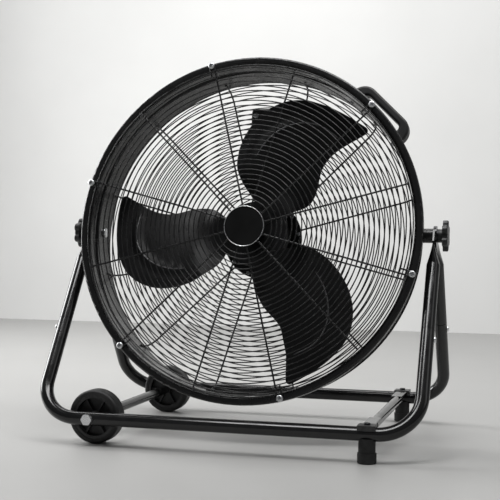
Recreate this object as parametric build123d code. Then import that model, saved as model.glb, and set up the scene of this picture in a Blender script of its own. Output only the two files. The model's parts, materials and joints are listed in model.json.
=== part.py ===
from build123d import *
from math import asin, atan, atan2, cos, degrees, hypot, radians, sin, sqrt, tan
import os

# Floor-standing drum fan. Millimetres and degrees.
# World frame: origin on the floor under the middle of the pivot axis, X to the right seen from
# the front, Y to the back, Z up. The fan blows towards -Y.
# Drum frame: origin on the pivot axis, X to the right, Y up the drum, Z forward along the fan axis.

os.makedirs("parts", exist_ok=True)

# Stance
pivot_height = 400.0
rest_tilt = 10.0

# Clearances
seat_gap = 0.05
running_gap = 0.07
hole_gap = 0.15
body_gap = 0.3
overcut = 1.0
through_cut = 200.0

# Drum shroud
drum_radius = 328.0
drum_sheet = 1.5
rim_radius = 345.0
rim_front = 82.0
rim_return = 14.0
rim_inner_bend = 7.0
rim_outer_bend = 3.5
drum_back = 38.0
back_flange = 3.2
back_bend = 2.0
bead_place = 40.0
bead_width = 14.0
bead_flank = 4.0
bead_depth = 4.0
bead_bend = 2.5

# Wire grilles
ring_wire = 2.4
spoke_wire = 3.6
weld_sink = 0.8
ring_pitch = 10.0
spoke_count = 12
first_spoke = 15.0
front_first_ring = 54.0
front_rim_rings = 2
rim_ring_pitch = 5.5
rim_ring_gap = 1.0
hairpin_half = 4.5
hairpin_length = 24.0
front_screw_radius = 339.5
basket_depth = 18.0
basket_bend = 28.0
basket_ring_turns = (75.0, 50.0, 25.0)
basket_reach = 6.0
grille_screw_shank = 2.5
grille_screw_head = 6.5
grille_screw_head_height = 4.0
grille_screw_length = 14.0
hub_plate_radius = 36.0
hub_plate_hole = 12.0

# Badge
badge_radius = 40.0
badge_thickness = 3.0
badge_bead = 1.6
badge_bead_height = 0.8

# Motor mounting plate, in the middle of the rear grille
plate_front = -60.0
plate_thickness = 2.5
plate_radius = 82.0
plate_screw_radius = 76.0
plate_screw_turn = -6.0
plate_screw_shank = 2.0
plate_screw_head = 4.2
plate_screw_head_height = 3.0
plate_screw_length = 8.0

# Motor
motor_radius = 60.0
motor_wall = 2.5
motor_front = -14.0
motor_split = -45.0
motor_rear = -95.0
motor_edge = 7.0
motor_flange_radius = 70.0
motor_flange = 3.0
flange_bolt_radius = 65.5
flange_bolt_count = 4
flange_bolt_shank = 2.5
flange_bolt_head = 4.0
flange_bolt_head_height = 3.5
flange_bolt_length = 9.0
vent_count = 12
vent_inner = 28.0
vent_outer = 50.0
vent_width = 5.0
bearing_radius = 16.0
bearing_width = 10.0
bearing_boss = 3.0
stator_bore = 33.0
stator_length = 34.0
winding_inner = 36.0
winding_outer = 52.0
winding_length = 9.5
air_gap = 0.6

# Shaft, hub and blades
shaft_radius = 6.0
shaft_nose = 34.0
shaft_chamfer = 1.0
shaft_gap = 2.0
hub_plane = 6.0
hub_disc_radius = 66.0
hub_disc = 3.0
hub_boss_radius = 20.0
hub_boss_back = -7.0
hub_boss_front = 24.0
nut_flats = 18.0
nut_height = 8.0
blade_count = 3
blade_radius = 311.0
blade_sheet = 1.5
blade_lead = 360.0
blade_middle = 22.0
blade_first = 44.0
blade_flat_radius = 74.0
blade_full_radius = 134.0
blade_root_radius = 27.0
blade_tip_round = 8.0
blade_low_angle = -32.0
blade_sector = 105.0
blade_angle_steps = (3.5, 5.0, 5.25, 6.0, 8.75)
blade_tolerance = 0.05
blade_area_error = 0.01
ridge_radius = 255.0
ridge_width = 15.0
ridge_height = 3.0
ridge_curl = 0.1
ridge_bow = 14.0
ridge_start = 4.0
ridge_end = 48.0
ridge_fade = 8.0
rivet_radius = 2.5
rivet_head = 4.6
rivet_head_height = 2.2
rivet_rows = (42.0, 57.0)
rivet_angles = (6.0, 34.0)

# Control box on the back of the rear grille, with the speed switch
box_left = -39.0
box_top = 280.0
box_width = 72.0
box_height = 76.0
box_depth = 34.0
box_corner = 8.0
box_wall = 2.5
box_edge = 4.0
box_plate = 2.0
box_boss = 4.5
box_screw_sides = (-26.0, 26.0)
box_screw_gaps = (13, 18)
box_screw_shank = 1.75
box_screw_head = 5.5
box_screw_head_height = 2.4
box_screw_bite = 12.0
switch_width = 30.0
switch_depth = 11.0
switch_corner = 4.0
stem_radius = 3.0
stem_length = 10.0
knob_radius = 19.0
knob_height = 16.0
knob_edge = 2.0
knob_flutes = 14
knob_flute_radius = 2.2
knob_flute_stop = 4.0
pointer_width = 3.0
pointer_height = 1.2
pointer_margin = 5.0
capacitor_width = 34.0
capacitor_depth = 14.0
capacitor_height = 12.0
capacitor_corner = 2.0
capacitor_up = 25.0
gland_radius = 7.0
gland_bore = 4.0
gland_length = 16.0
gland_flange_radius = 9.5
gland_flange = 2.5

# Carry handle
handle_angle = 45.0
handle_outer = 372.0
handle_grip = 16.0
handle_half_length = 73.0
handle_leg = 24.0
handle_width = 28.0
handle_place = -2.0
handle_corner = 30.0
handle_inner_corner = 10.0
handle_edge = 5.0
handle_screw_shank = 2.5
handle_screw_head = 5.0
handle_screw_head_height = 3.2
handle_screw_length = 16.0

# Stand tubes
tube_radius = 12.7
tube_wall = 1.5
leg_plane = 360.0
rail_spread = 237.0
rail_height = 51.0
bend_radius = 75.0
eye_width = 38.0
eye_thickness = 3.0
eye_gap = 0.2
eye_drop = 24.0
flare_end = 68.0
joint_share = 0.5
shoulder = 3.0
seam_width = 1.0
seam_depth = 0.6
spigot_length = 40.0
spigot_wall = 1.3
leg_screw_drop = 18.0
leg_screw_shank = 3.0
leg_screw_head = 5.5
leg_screw_head_height = 3.5
leg_screw_length = 8.0

# Pivots and clamp knobs
pivot_bolt_radius = 5.0
pivot_head_radius = 10.0
pivot_head_height = 5.0
spacer_radius = 14.0
washer_radius = 13.0
washer_thickness = 4.0
clamp_boss_radius = 13.0
clamp_boss_length = 7.0
clamp_star_thickness = 10.5
clamp_star_radius = 30.0
clamp_lobes = 6
clamp_lobe_radius = 8.5
clamp_edge = 3.0
clamp_bore_depth = 14.0

# Axle and wheels
axle_place = -254.5
axle_radius = 5.0
hex_flats = 19.0
hex_height = 7.0
wheel_place = 203.0
wheel_width = 36.0
wheel_boss_radius = 11.0
wheel_web = 5.0
wheel_rim_inner = 36.0
wheel_rim_outer = 42.0
wheel_rim_width = 31.0
wheel_ribs = 6
wheel_first_rib = 60.0
wheel_rib = 3.0
wheel_rib_width = 20.0
tyre_width = 34.0
tyre_round = 6.0
axle_spacer_radius = 8.0
axle_tube_radius = 9.5
axle_tube_wall = 1.5
plug_flange = 2.0
plug_length = 18.0

# Cross bar, saddles and feet
bar_radius = 9.5
bar_wall = 1.5
bar_end_gap = 52.0
tongue_width = 22.0
tongue_thickness = 2.4
tongue_reach = 12.0
tongue_root = 28.0
saddle_length = 32.0
saddle_half_width = 14.2
saddle_cover = 1.6
saddle_skirt = 6.0
saddle_edge = 0.8
foot_radius = 17.0
foot_neck_radius = 15.2
foot_pad_height = 18.0
foot_wrap = 5.0
foot_edge = 2.5
saddle_screw_shank = 3.0
saddle_screw_head = 6.0
saddle_screw_head_height = 3.5
saddle_screw_bite = 24.0

# Derived places
axle_height = rail_height
tyre_radius = axle_height
tube_inner = tube_radius - tube_wall
leg_rise = pivot_height - rail_height
leg_length = hypot(rail_spread, leg_rise)
leg_lean = degrees(atan2(rail_spread, leg_rise))
joint_drop = leg_length * joint_share
drum_outer = drum_radius + drum_sheet
eye_reach = eye_thickness + eye_gap / 2
spoke_face = rim_front + seat_gap
spoke_level = spoke_face + spoke_wire / 2
ring_step = (spoke_wire + ring_wire) / 2 - weld_sink
front_ring_level = spoke_level + ring_step
front_last_ring = drum_radius - rim_ring_gap - front_rim_rings * rim_ring_pitch
ring_plate_back = plate_front - plate_thickness - seat_gap - plate_thickness
hub_face = front_ring_level + ring_wire / 2
blade_step = 360.0 / blade_count
rail_top = rail_height + tube_radius
foot_place = leg_plane - bend_radius - saddle_length / 2
basket_wall = drum_radius - seat_gap - spoke_wire / 2
cone_start = ring_plate_back - spoke_wire / 2 + weld_sink
cone_end = -drum_back - basket_depth
cone_slope = (cone_end - cone_start) / (basket_wall - plate_radius)
box_middle = box_left + box_width / 2
box_centre = box_top - box_height / 2
box_front = -box_plate - seat_gap
box_back = box_front - box_depth
low_align = (Align.CENTER, Align.CENTER, Align.MIN)
high_align = (Align.CENTER, Align.CENTER, Align.MAX)


def save(node, *solids):
    """Write one node: a single solid, or a group of separate solids."""
    shape = solids[0] if len(solids) == 1 else Compound(children=list(solids))
    export_step(shape, f"parts/{node}.step")


def tilt(shape):
    """Place a shape of the drum frame in the world at the rest tilt."""
    return Pos(0, 0, pivot_height) * Rot(90 - rest_tilt, 0, 0) * shape


def save_drum(node, *solids):
    save(node, *[tilt(solid) for solid in solids])


def disc(radius, low, high):
    """Round solid on the Z axis between two levels."""
    return Pos(0, 0, low) * Cylinder(radius, high - low, align=low_align)


def sleeve(outer, inner, low, high):
    """Hollow round solid on the Z axis between two levels."""
    return disc(outer, low, high) - disc(inner, low - overcut, high + overcut)


def along_x(shape):
    """Turn a shape from the Z axis to the X axis."""
    return Rot(0, 90, 0) * shape


def along_y(shape):
    """Turn a shape from the Z axis to the -Y axis."""
    return Rot(90, 0, 0) * shape


def pan_screw(head, head_height, shank, length):
    """Screw on the Z axis: domed head above the seat at zero, shank below."""
    cap = disc(head, 0, head_height)
    cap = fillet(cap.edges().sort_by(Axis.Z)[-1], head_height * 0.6)
    return cap + disc(shank, -length, head_height / 2)


def hexagon(flats, low, high):
    """Six-sided solid on the Z axis with chamfered corners."""
    prism = Pos(0, 0, low) * extrude(RegularPolygon(flats / 2, 6, major_radius=False), high - low)
    return prism & disc(flats * 0.56, low, high)


def polar(radius, angle):
    return (radius * cos(radians(angle)), radius * sin(radians(angle)))


def ring_of(count, first, radius):
    """Places of a round pattern in the XY plane."""
    return [Rot(0, 0, first + 360.0 / count * k) * Pos(radius, 0, 0) for k in range(count)]


def square_ring(radius, level, wire):
    """Welded grille ring of square wire."""
    section = Plane.XZ * Pos(radius, level) * Rectangle(wire, wire)
    return revolve(section, Axis.Z, 360)


spoke_angles = [first_spoke + 360.0 / spoke_count * k for k in range(spoke_count)]
screw_angles = spoke_angles[1::2]
plain_angles = spoke_angles[0::2]
pivot_sides = (-1, 1)
frame_sides = (-1, 1)


# Drum shroud: one rolled sheet with a rounded rim, a stiffening bead and a back flange
def drum_shroud():
    wall = drum_radius + drum_sheet / 2
    back = -drum_back + drum_sheet / 2
    face = rim_front - drum_sheet / 2
    rim = rim_radius - drum_sheet / 2
    bead_low = bead_place - bead_width / 2
    bead_high = bead_place + bead_width / 2
    sheet_line = FilletPolyline(
        (wall + back_flange, back),
        (wall, back),
        (wall, bead_low),
        (wall + bead_depth, bead_low + bead_flank),
        (wall + bead_depth, bead_high - bead_flank),
        (wall, bead_high),
        (wall, face),
        (rim, face),
        (rim, face - rim_return),
        radius=[back_bend, bead_bend, bead_bend, bead_bend, bead_bend, rim_inner_bend, rim_outer_bend],
    )
    shroud = revolve(Plane.XZ * trace(sheet_line, drum_sheet), Axis.Z, 360)
    grille_hole = disc(grille_screw_shank + hole_gap, -drum_sheet * 2, drum_sheet * 2)
    for angle in screw_angles:
        shroud -= Rot(0, 0, angle) * Pos(front_screw_radius, 0, rim_front) * grille_hole
    for side in pivot_sides:
        shroud -= Pos(side * drum_radius, 0, 0) * along_x(Cylinder(pivot_bolt_radius + hole_gap, through_cut))
    for place in handle_screw_places():
        shroud -= place * disc(handle_screw_shank + hole_gap, -drum_sheet, drum_sheet * 3)
    return shroud


# Grilles: square-wire rings welded on radial spokes, six of them ending in a hairpin round a screw
def hairpin_spoke(angle, inner, screw_radius, level):
    reach = screw_radius - inner
    low_left = (Align.MIN, Align.CENTER, Align.CENTER)
    high_right = (Align.MAX, Align.CENTER, Align.CENTER)
    long_leg = Pos(inner, -hairpin_half, level) * Box(reach, spoke_wire, spoke_wire, align=low_left)
    short_leg = Pos(screw_radius, hairpin_half, level) * Box(
        hairpin_length, spoke_wire, spoke_wire, align=high_right
    )
    section = Plane.XZ * Pos(hairpin_half, level) * Rectangle(spoke_wire, spoke_wire)
    half_loop = Rot(0, 0, -90) * revolve(section, Axis.Z, 180)
    return Rot(0, 0, angle) * (long_leg + short_leg + Pos(screw_radius, 0, 0) * half_loop)


def plain_spoke(angle, inner, outer, level):
    low_left = (Align.MIN, Align.CENTER, Align.CENTER)
    return Rot(0, 0, angle) * Pos(inner, 0, level) * Box(
        outer - inner, spoke_wire, spoke_wire, align=low_left
    )


def front_ring_radii():
    count = int((front_last_ring - front_first_ring) / ring_pitch) + 1
    radii = [front_first_ring + ring_pitch * k for k in range(count)]
    radii += [front_last_ring + rim_ring_pitch * (k + 1) for k in range(front_rim_rings)]
    return radii


def front_grille():
    inner = hub_plate_radius - spoke_wire * 2
    outer = front_ring_radii()[-1]
    wires = [plain_spoke(angle, inner, outer, spoke_level) for angle in plain_angles]
    wires += [hairpin_spoke(angle, inner, front_screw_radius, spoke_level) for angle in screw_angles]
    wires += [square_ring(radius, front_ring_level, ring_wire) for radius in front_ring_radii()]
    wires.append(sleeve(hub_plate_radius, hub_plate_hole, hub_face - ring_wire, hub_face))
    return Part() + wires


def cone_level(radius):
    """Level of the middle of the rear grille's spokes at a radius."""
    return cone_start + cone_slope * (radius - plate_radius)


def rear_grille():
    """Basket: a shallow cone of rings on spokes that bend forward along the inside of the drum wall."""
    inner = plate_radius - spoke_wire * 3
    path = Plane.XZ * FilletPolyline(
        (inner, cone_level(inner)), (basket_wall, cone_end), (basket_wall, -basket_reach), radius=basket_bend
    )
    section = Plane(origin=path @ 0, x_dir=(0, 1, 0), z_dir=path % 0) * Rectangle(spoke_wire, spoke_wire)
    spoke = sweep(section, path)
    wires = [Rot(0, 0, angle) * spoke for angle in spoke_angles]
    radius = plate_radius + ring_pitch
    while radius < basket_wall - basket_bend:
        wires.append(square_ring(radius, cone_level(radius) - ring_step, ring_wire))
        radius += ring_pitch
    bend_turn = 90 - degrees(atan(cone_slope))
    bend_level = cone_end + basket_bend * tan(radians(bend_turn / 2))
    for angle in basket_ring_turns:
        across, along = polar(basket_bend + ring_step, -angle)
        wires.append(square_ring(basket_wall - basket_bend + across, bend_level + along, ring_wire))
    wires.append(ring_plate(ring_plate_back))
    return Part() + wires


def grille_screw():
    return pan_screw(grille_screw_head, grille_screw_head_height, grille_screw_shank, grille_screw_length)


def hub_badge():
    back = hub_face + seat_gap
    badge = disc(badge_radius, back, back + badge_thickness)
    bead = sleeve(badge_radius, badge_radius - badge_bead, back, back + badge_thickness + badge_bead_height)
    badge = badge + bead
    return fillet(badge.edges().filter_by(GeomType.CIRCLE).sort_by(Axis.Z)[-2:], badge_bead * 0.3)


# Motor, its mounting plate and what is inside
def plate_screw_places():
    return ring_of(spoke_count, first_spoke + plate_screw_turn, plate_screw_radius)


def flange_bolt_places():
    return ring_of(flange_bolt_count, first_spoke + 360.0 / spoke_count, flange_bolt_radius)


def ring_plate(low):
    """Flat ring round the motor with holes for the plate screws and the flange bolts."""
    plate = sleeve(plate_radius, motor_radius + 2 * body_gap, low, low + plate_thickness)
    for place in plate_screw_places():
        plate -= place * Cylinder(plate_screw_shank + hole_gap, through_cut)
    for place in flange_bolt_places():
        plate -= place * Cylinder(flange_bolt_shank + hole_gap, through_cut)
    return plate


def cover_vents():
    """Radial slots through the end wall."""
    slot = SlotOverall(vent_outer - vent_inner, vent_width)
    middle = (vent_inner + vent_outer) / 2
    return [place * extrude(slot, 2 * motor_wall, both=True) for place in ring_of(vent_count, 0, middle)]


def motor_front_cover():
    shell = disc(motor_radius, motor_split, motor_front)
    shell = fillet(shell.edges().sort_by(Axis.Z)[-1], motor_edge)
    shell -= disc(motor_radius - motor_wall, motor_split - overcut, motor_front - motor_wall)
    boss_low = motor_front - motor_wall - bearing_width
    shell += disc(bearing_radius + bearing_boss, boss_low, motor_front)
    shell -= disc(bearing_radius + seat_gap, boss_low - overcut, motor_front - motor_wall)
    shell -= disc(shaft_radius + shaft_gap, motor_front - 2 * motor_wall, motor_front + overcut)
    for vent in cover_vents():
        shell -= Pos(0, 0, motor_front) * vent
    return shell


def motor_rear_cover():
    top = motor_split - seat_gap
    shell = disc(motor_radius, motor_rear, top)
    shell = fillet(shell.edges().sort_by(Axis.Z)[0], motor_edge)
    flange_low = plate_front + seat_gap
    shell += sleeve(motor_flange_radius, motor_radius - motor_wall / 2, flange_low, flange_low + motor_flange)
    shell -= disc(motor_radius - motor_wall, motor_rear + motor_wall, top + overcut)
    boss_high = motor_rear + motor_wall + bearing_width
    shell += disc(bearing_radius + bearing_boss, motor_rear, boss_high)
    shell -= disc(bearing_radius + seat_gap, motor_rear + motor_wall, boss_high + overcut)
    for place in flange_bolt_places():
        shell -= place * Cylinder(flange_bolt_shank + hole_gap, through_cut)
    for vent in cover_vents():
        shell -= Pos(0, 0, motor_rear) * vent
    return shell


def bearing(low):
    ring = sleeve(bearing_radius, shaft_radius + running_gap / 2, low, low + bearing_width)
    middle = (bearing_radius + shaft_radius) / 2
    groove = (bearing_radius - shaft_radius) / 4
    shield = sleeve(middle + groove, middle - groove, -overcut, overcut)
    return ring - Pos(0, 0, low) * shield - Pos(0, 0, low + bearing_width) * shield


def stator_span():
    middle = (motor_front + motor_rear) / 2
    return middle - stator_length / 2, middle + stator_length / 2


def stator_core():
    low, high = stator_span()
    return sleeve(motor_radius - motor_wall - body_gap, stator_bore, low, high)


def windings():
    low, high = stator_span()
    rear = sleeve(winding_outer, winding_inner, low - seat_gap - winding_length, low - seat_gap)
    front = sleeve(winding_outer, winding_inner, high + seat_gap, high + seat_gap + winding_length)
    round_edge = winding_length / 4
    return [fillet(coil.edges(), round_edge) for coil in (rear, front)]


def rotor_core():
    low, high = stator_span()
    return sleeve(stator_bore - air_gap, shaft_radius + seat_gap, low, high)


def motor_shaft():
    tail = motor_rear + motor_wall + seat_gap
    shaft = disc(shaft_radius, tail, shaft_nose)
    return chamfer(shaft.edges().sort_by(Axis.Z)[-1], shaft_chamfer)


# Impeller: three stamped blades, flat at the root and a screw surface outside it
def ridge_rise(radius, angle):
    """Height of the pressed ridge, an arch that curls in towards the hub."""
    past = max(0.0, angle - ridge_bow)
    crest = ridge_radius - ridge_curl * past**2
    lean = degrees(2 * ridge_curl * past) / crest
    across = (radius - crest) / hypot(1, lean)
    fade = min(1.0, (angle - ridge_start) / ridge_fade, (ridge_end - angle) / ridge_fade)
    return ridge_height * max(0.0, fade) * max(0.0, 1 - (across / ridge_width) ** 2) ** 2


def blade_height(radius, angle):
    """Level of a blade's back face: flat on the hub, then a screw surface with a pressed ridge."""
    share = (radius - blade_flat_radius) / (blade_full_radius - blade_flat_radius)
    share = min(1.0, max(0.0, share))
    twist = share * share * (3 - 2 * share)
    return hub_plane + blade_lead * (angle - blade_middle) / 360.0 * twist + ridge_rise(radius, angle)


def blade_outline():
    """Outline seen from the front, with the leading edge near zero degrees."""
    tip = polar(blade_radius, 0)
    root_low = polar(blade_root_radius, -4)
    root_high = polar(blade_root_radius, 46)
    leading = Spline(
        root_low,
        polar(blade_flat_radius, -12),
        polar(blade_flat_radius * 1.55, -12.6),
        polar(blade_radius * 0.48, -5.7),
        polar(blade_radius * 0.60, 2.6),
        polar(blade_radius * 0.74, 3.8),
        polar(blade_radius * 0.88, 1.5),
        tip,
    )
    trailing = Spline(
        tip,
        polar(blade_radius * 0.967, 11.5),
        polar(blade_radius * 0.945, 22),
        polar(blade_radius * 0.905, 32),
        polar(blade_radius * 0.80, 42.5),
        polar(blade_radius * 0.625, 53),
        polar(blade_radius * 0.44, 60.3),
        polar(blade_flat_radius * 1.35, 60),
        polar(blade_flat_radius * 0.92, 51),
        root_high,
    )
    face = make_face([leading, trailing, Line(root_high, root_low)])
    corner = face.vertices().sort_by_distance(tip)[0]
    return fillet(corner, blade_tip_round)


def blade_sheet_solid(angle_step):
    """Curved sheet over the whole sector of one blade, through points at this spacing."""
    radii = [blade_root_radius * 0.7]
    step = ridge_width / 2
    while radii[-1] < blade_radius * 1.06:
        radii.append(radii[-1] + step)
    columns = round(blade_sector / angle_step) + 1
    angles = [blade_low_angle + angle_step * k for k in range(columns)]
    rows = []
    for radius in radii:
        row = [Vector(*polar(radius, angle), blade_height(radius, angle)) for angle in angles]
        rows.append(row)
    surface = Face.make_surface_from_array_of_points(rows, tol=blade_tolerance)
    return extrude(surface, blade_sheet, dir=(0, 0, 1))


def rivet_places():
    return [Pos(*polar(radius, angle)) for radius in rivet_rows for angle in rivet_angles]


def is_sound(sheet, volume):
    """One valid solid that lacks none of its outline."""
    if sheet is None or len(sheet.solids()) != 1:
        return False
    return sheet.is_valid and abs(sheet.volume / volume - 1) < blade_area_error


def blade_blank():
    """Sheet trimmed to the outline: the finest sound one that is clear of the hub, else the finest sound one."""
    reach = blade_lead
    face = blade_outline()
    outline = Pos(0, 0, -reach / 2) * extrude(face, reach)
    hub_top = disc(hub_disc_radius, hub_plane - hub_disc, hub_plane - seat_gap)
    sound = []
    for angle_step in blade_angle_steps:
        try:
            sheet = outline & blade_sheet_solid(angle_step)
        except ValueError:
            continue
        if not is_sound(sheet, face.area * blade_sheet):
            continue
        if not sheet & hub_top:
            return sheet
        sound.append(sheet)
    return sound[0]


def blade():
    reach = blade_lead
    sheet = blade_blank()
    for place in rivet_places():
        sheet -= place * Cylinder(rivet_radius + hole_gap, reach)
    return sheet


def blade_hub():
    top = hub_plane - seat_gap
    hub = disc(hub_disc_radius, top - hub_disc, top)
    hub += disc(hub_boss_radius, hub_boss_back, hub_boss_front)
    hub -= disc(shaft_radius + seat_gap / 2, hub_boss_back - overcut, hub_boss_front + overcut)
    for k in range(blade_count):
        for place in rivet_places():
            turn = Rot(0, 0, blade_first + blade_step * k)
            hub -= turn * place * Cylinder(rivet_radius + hole_gap, through_cut)
    return hub


def rivet():
    grip = blade_sheet + hub_disc + 3 * seat_gap
    head = disc(rivet_head, 0, rivet_head_height)
    head = fillet(head.edges().sort_by(Axis.Z)[-1], rivet_head_height * 0.7)
    tail = disc(rivet_head, -grip - rivet_head_height, -grip)
    return head + tail + disc(rivet_radius, -grip - overcut, overcut)


# Control box on the back of the rear grille
def on_box(shape):
    """Place a shape of the box frame in the drum frame: Z is zero on the back of the rings, rear is -Z."""
    level = cone_level(box_centre) - ring_step - ring_wire / 2 - 2 * seat_gap
    return Pos(box_middle, box_centre, level) * Rot(degrees(atan(cone_slope)), 0, 0) * shape


def box_screw_spots():
    """Screws between two rings: distance to the side, distance up and how far the rings stand forward."""
    spots = []
    for across in box_screw_sides:
        for gap in box_screw_gaps:
            radius = plate_radius + ring_pitch * (gap + 0.5)
            up = sqrt(radius**2 - (box_middle + across) ** 2)
            spots.append((across, up - box_centre, cone_slope * (radius - up)))
    return spots


def box_screw_holes(low, high):
    hole = disc(box_screw_shank + hole_gap, low, high)
    return [Pos(across, up, 0) * hole for across, up, forward in box_screw_spots()]


def box_outline(inset):
    return RectangleRounded(box_width - 2 * inset, box_height - 2 * inset, box_corner - inset)


def switch_plate():
    plate = Pos(0, 0, -box_plate) * extrude(box_outline(0), box_plate)
    for hole in box_screw_holes(-box_plate - overcut, overcut):
        plate -= hole
    return plate


def switch_housing():
    shell = Pos(0, 0, box_back) * extrude(box_outline(0), box_depth)
    shell = fillet(shell.faces().sort_by(Axis.Z)[0].edges(), box_edge)
    shell -= Pos(0, 0, box_back + box_wall) * extrude(box_outline(box_wall), box_depth)
    for across, up, forward in box_screw_spots():
        shell += Pos(across, up, 0) * disc(box_boss, box_back + box_wall / 2, box_front)
    for hole in box_screw_holes(box_front - box_screw_bite - overcut, box_front + overcut):
        shell -= hole
    shell -= disc(stem_radius + 2 * body_gap, box_back - overcut, box_back + 2 * box_wall)
    gland_level = (box_back + box_front) / 2
    shell -= Pos(box_width / 2, 0, gland_level) * along_x(Cylinder(gland_radius + hole_gap, 4 * box_wall))
    return shell


def box_screw(across, up, forward):
    seat = ring_wire + 5 * seat_gap + forward
    length = seat - box_front + box_screw_bite
    screw = pan_screw(box_screw_head, box_screw_head_height, box_screw_shank, length)
    return Pos(across, up, seat) * screw


def rotary_switch():
    floor = box_back + box_wall + seat_gap
    body = Pos(0, 0, floor) * Box(switch_width, switch_width, switch_depth, align=low_align)
    body = chamfer(body.edges().filter_by(Axis.Z), switch_corner)
    return body - disc(stem_radius + running_gap, floor - overcut, floor + stem_length)


def capacitor():
    top = box_front - seat_gap
    block = Box(capacitor_width, capacitor_depth, capacitor_height, align=high_align)
    block = fillet(block.edges().filter_by(Axis.Z), capacitor_corner)
    return Pos(0, capacitor_up, top) * block


def cable_gland():
    """Gland in the side of the box, so a cord goes straight in past the motor."""
    side = box_width / 2
    body = sleeve(gland_radius, gland_bore, side - 2 * box_wall, side + gland_length)
    body += sleeve(gland_flange_radius, gland_bore, side + seat_gap, side + seat_gap + gland_flange)
    return Pos(0, 0, (box_back + box_front) / 2) * along_x(body)


def speed_knob():
    base = box_back - body_gap
    knob = disc(knob_radius, base - knob_height, base)
    knob = fillet(knob.edges().sort_by(Axis.Z)[0], knob_edge)
    flute = Cylinder(knob_flute_radius, 2 * (knob_height - knob_flute_stop))
    for place in ring_of(knob_flutes, 0, knob_radius + knob_flute_radius / 2):
        knob -= place * Pos(0, 0, base - knob_height) * flute
    pointer = Pos(0, knob_radius / 2, base - knob_height) * Box(
        pointer_width, knob_radius - pointer_margin, 2 * pointer_height
    )
    stem = disc(stem_radius, base - knob_height / 2, box_back + box_wall + stem_length - overcut)
    return knob + pointer + stem


# Carry handle on the upper right of the drum
def handle_screw_turn():
    return degrees(asin((handle_half_length - handle_leg / 2) / drum_radius))


def handle_screw_places():
    """Places on the inside of the wall with Z pointing outwards."""
    places = []
    for side in (-1, 1):
        turn = Rot(0, 0, handle_angle + side * handle_screw_turn())
        places.append(turn * Pos(drum_radius, 0, handle_place) * Rot(0, 90, 0))
    return places


def carry_handle():
    foot = drum_radius * 0.9
    grip_inner = handle_outer - handle_grip
    gap_half = handle_half_length - handle_leg
    block = Pos((foot + handle_outer) / 2, 0) * Rectangle(handle_outer - foot, 2 * handle_half_length)
    block = fillet(block.vertices().sort_by(Axis.X)[-2:], handle_corner)
    gap_low = foot - handle_grip
    gap = Pos((gap_low + grip_inner) / 2, 0) * Rectangle(grip_inner - gap_low, 2 * gap_half)
    gap = fillet(gap.vertices().sort_by(Axis.X)[-2:], handle_inner_corner)
    body = extrude(block - gap, handle_width / 2, both=True)
    loops = body.faces().sort_by(Axis.Z)
    body = fillet(loops[0].edges() + loops[-1].edges(), handle_edge)
    body = Pos(0, 0, handle_place) * body
    body = Rot(0, 0, handle_angle) * body
    body -= Cylinder(drum_outer + seat_gap, 8 * handle_width)
    for place in handle_screw_places():
        body -= place * disc(handle_screw_shank + hole_gap, 0, handle_screw_length + overcut)
    return body


# Stand tubes
def frame_tube(side):
    """Bottom rail with two bends, leaning up towards the pivots."""
    rise = Vector(0, -side * sin(radians(leg_lean)), cos(radians(leg_lean)))
    across = Vector(1, 0, 0)
    plane = Plane(origin=(0, side * rail_spread, rail_height), x_dir=across, z_dir=across.cross(rise))
    top = leg_length - joint_drop - seat_gap
    path = plane * FilletPolyline(
        (-leg_plane, top), (-leg_plane, 0), (leg_plane, 0), (leg_plane, top), radius=bend_radius
    )
    start = Plane(origin=path @ 0, z_dir=path % 0)
    tube = sweep(start * Circle(tube_radius), path) - sweep(start * Circle(tube_inner), path)
    rail = Pos(0, side * rail_spread, rail_height)
    tube -= rail * Pos(axle_place, 0, 0) * along_y(Cylinder(axle_radius + hole_gap, 4 * tube_radius))
    tube -= rail * Pos(foot_place, 0, 0) * Cylinder(saddle_screw_shank + hole_gap, 4 * tube_radius)
    for hand in pivot_sides:
        tube -= leg_frame(side, hand) * leg_screw_hole(hand)
    return tube


def leg_frame(side, hand):
    """Frame of one leg: origin on the pivot axis, -Z down the leg."""
    return Pos(hand * leg_plane, 0, pivot_height) * Rot(side * leg_lean, 0, 0)


def leg_screw_hole(hand):
    level = -joint_drop - leg_screw_drop
    return Pos(hand * tube_radius, 0, level) * along_x(Cylinder(leg_screw_shank + hole_gap, tube_radius))


def upper_leg(side, hand):
    """Upper leg tube with a flattened eye at the top and a spigot at the bottom."""
    shift = hand * side * (eye_thickness + eye_gap) / 2
    eye = Pos(shift, 0, 0) * along_x(Cylinder(eye_width / 2, eye_thickness))
    eye += Pos(shift, 0, 0) * Box(eye_thickness, eye_width, eye_drop, align=high_align)
    flat = Pos(shift, 0, -eye_drop) * Rot(0, 0, 90) * Ellipse(eye_width / 2, eye_thickness / 2)
    round_end = Pos(0, 0, -flare_end) * Rot(0, 0, 90) * Circle(tube_radius)
    leg = eye + loft([flat, round_end])
    leg += sleeve(tube_radius, tube_inner, -joint_drop + seam_width, -flare_end)
    spigot = tube_inner - seat_gap
    leg += sleeve(tube_radius - seam_depth, spigot - spigot_wall, -joint_drop, -joint_drop + shoulder)
    leg += sleeve(spigot, spigot - spigot_wall, -joint_drop - spigot_length, -joint_drop + shoulder)
    leg -= along_x(Cylinder(pivot_bolt_radius + running_gap, 4 * eye_thickness))
    leg -= leg_screw_hole(hand)
    return leg_frame(side, hand) * leg


def leg_screw(side, hand):
    screw = pan_screw(leg_screw_head, leg_screw_head_height, leg_screw_shank, leg_screw_length)
    seat = Pos(hand * (tube_radius + seat_gap), 0, -joint_drop - leg_screw_drop)
    return leg_frame(side, hand) * seat * Rot(0, hand * 90, 0) * screw


# Pivots
def pivot_levels():
    """Distances from the middle plane along the pivot axis."""
    inner = leg_plane - eye_reach
    outer = leg_plane + eye_reach
    washer_start = outer + seat_gap
    boss_start = washer_start + washer_thickness + body_gap
    return inner, washer_start, boss_start


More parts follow.
